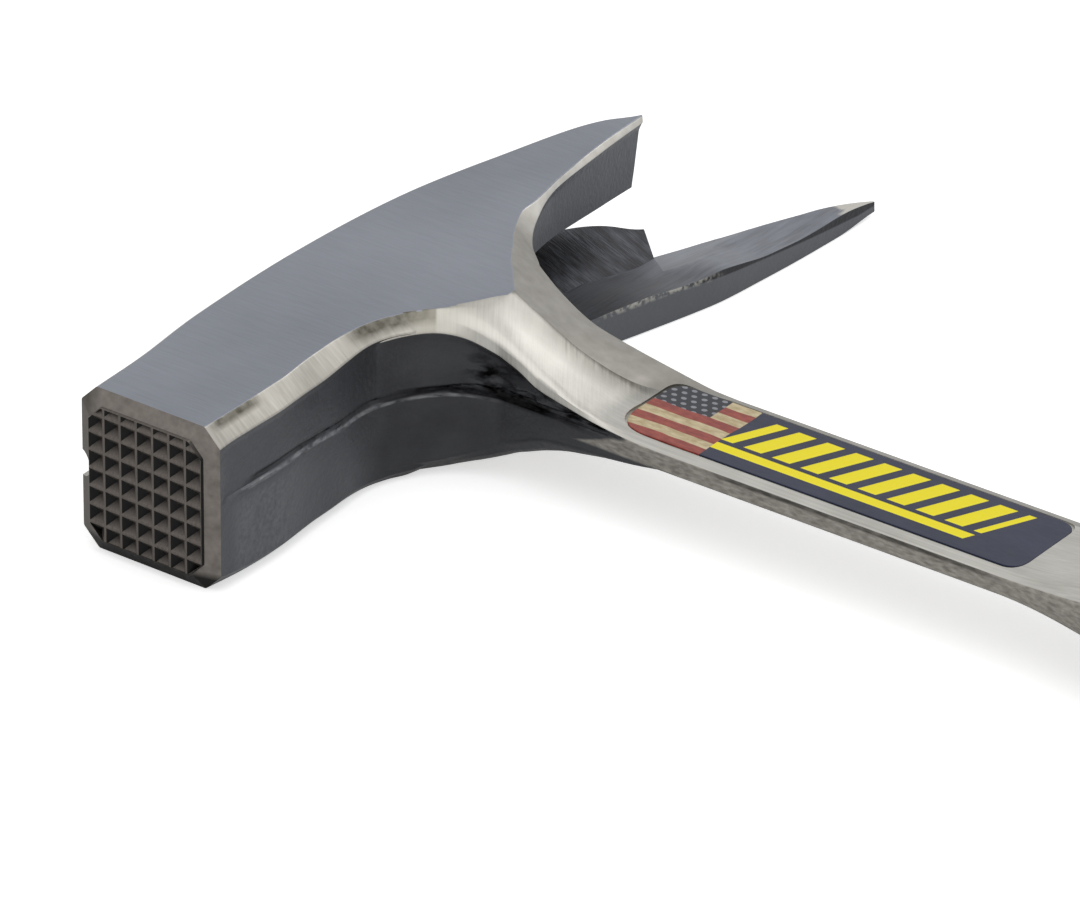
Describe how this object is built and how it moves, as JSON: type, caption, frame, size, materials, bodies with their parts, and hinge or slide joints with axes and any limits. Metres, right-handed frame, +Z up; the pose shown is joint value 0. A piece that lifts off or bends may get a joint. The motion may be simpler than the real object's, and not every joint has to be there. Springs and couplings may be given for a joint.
{
  "type": "scaffolding hammer",
  "caption": "One-piece forged hammer with a milled square face, nail-pulling jaws, a flat spike and a stacked leather grip.",
  "frame": {"origin": "middle of the tool's bounding box, on the ground plane that the lower cheek rests on", "axes": "+X down the handle from the head to the butt, +Y from the striking face towards the spike, +Z up from the lower cheek to the upper one"},
  "size_m": [0.33, 0.1642, 0.028],
  "materials": {
    "forged_steel": "forging under clear blue-grey lacquer, ground bright on the bevels and shank",
    "nickel": "nickel plate",
    "printed_film": "printed film, satin",
    "leather": "ground and lacquered leather",
    "black_fibre": "black fibre, lacquered",
    "cream_fibre": "cream fibre, lacquered",
    "aluminium": "turned and tumbled"
  },
  "bodies": {
    "root": {"forged_body": "forged_steel", "nail_magnet": "nickel", "shank_label": "printed_film", "collar_spacer_1": "black_fibre", "collar_spacer_2": "cream_fibre", "collar_spacer_3": "black_fibre", "leather_washer_01": "leather", "leather_washer_02": "leather", "leather_washer_03": "leather", "leather_washer_04": "leather", "leather_washer_05": "leather", "leather_washer_06": "leather", "leather_washer_07": "leather", "leather_washer_08": "leather", "leather_washer_09": "leather", "leather_washer_10": "leather", "leather_washer_11": "leather", "leather_washer_12": "leather", "leather_washer_13": "leather", "leather_washer_14": "leather", "leather_washer_15": "leather", "leather_washer_16": "leather", "leather_washer_17": "leather", "leather_washer_18": "leather", "leather_washer_19": "leather", "leather_washer_20": "leather", "leather_washer_21": "leather", "leather_washer_22": "leather", "butt_spacer_1": "black_fibre", "butt_spacer_2": "cream_fibre", "butt_spacer_3": "black_fibre", "butt_cap": "aluminium", "cap_rivet_1": "nickel", "cap_rivet_2": "nickel"}
  },
  "joints": []
}
